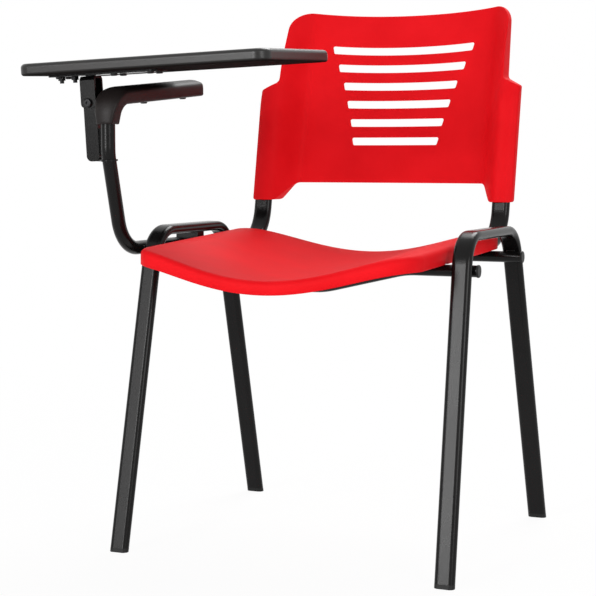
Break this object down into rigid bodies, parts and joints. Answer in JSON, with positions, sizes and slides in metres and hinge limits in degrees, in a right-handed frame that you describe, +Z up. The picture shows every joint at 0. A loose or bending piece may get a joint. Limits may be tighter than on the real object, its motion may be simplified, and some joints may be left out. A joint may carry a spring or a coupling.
{
  "type": "student chair with writing tablet",
  "caption": "Stacking classroom chair: moulded red seat and slotted back on a black tube frame, with an armrest and a writing tablet that lifts and swings aside.",
  "frame": {"origin": "on the floor, midway between the four feet", "axes": "+Z up, -Y to the front of the chair, +X to the sitter's left, so the tablet is on the -X side"},
  "size_m": [0.6428, 0.5625, 0.7939],
  "materials": {
    "frame_paint": "satin black powder coat",
    "red_plastic": "satin moulded red",
    "black_plastic": "moulded black",
    "pad_plastic": "soft dark moulded",
    "board_plastic": "fine grained black",
    "dark_steel": "blackened"
  },
  "bodies": {
    "frame": {"side_frame_left": "frame_paint", "side_frame_right": "frame_paint", "front_feet": "black_plastic", "rear_feet": "black_plastic", "front_crossbar": "frame_paint", "rear_crossbar": "frame_paint", "crossbar_end_caps": "black_plastic", "seat_rail_left": "frame_paint", "seat_rail_right": "frame_paint", "rail_end_caps": "black_plastic", "seat_shell": "red_plastic", "seat_screws": "dark_steel", "back_shell": "red_plastic", "back_screws": "dark_steel", "arm_tube": "frame_paint", "arm_tube_end_plug": "black_plastic", "arm_bracket": "frame_paint", "arm_bolts": "dark_steel", "armrest_pad": "pad_plastic", "armrest_screws": "dark_steel", "hinge_post": "frame_paint"},
    "link": {"hinge_link": "frame_paint", "lift_pivot_bolt": "dark_steel", "lift_pivot_nut": "dark_steel", "lift_pivot_washers": "dark_steel", "swivel_washers": "dark_steel"},
    "tablet": {"tablet_board": "board_plastic", "tablet_strip": "frame_paint", "tablet_screws": "dark_steel", "tablet_studs": "dark_steel", "tablet_stud_nuts": "dark_steel", "swivel_bolt": "dark_steel", "swivel_nut": "dark_steel"}
  },
  "joints": [
    {"name": "tablet_lift", "type": "hinge", "parent": "frame", "child": "link", "pos_m": [-0.301, -0.19098, 0.636], "axis": [0.0008, -0.999, -0.0449], "range_deg": [0, 90]},
    {"name": "tablet_swivel", "type": "hinge", "parent": "link", "child": "tablet", "pos_m": [-0.301, -0.19098, 0.636], "axis": [-0.0339, -0.0449, 0.9984], "range_deg": [0, 90]}
  ]
}
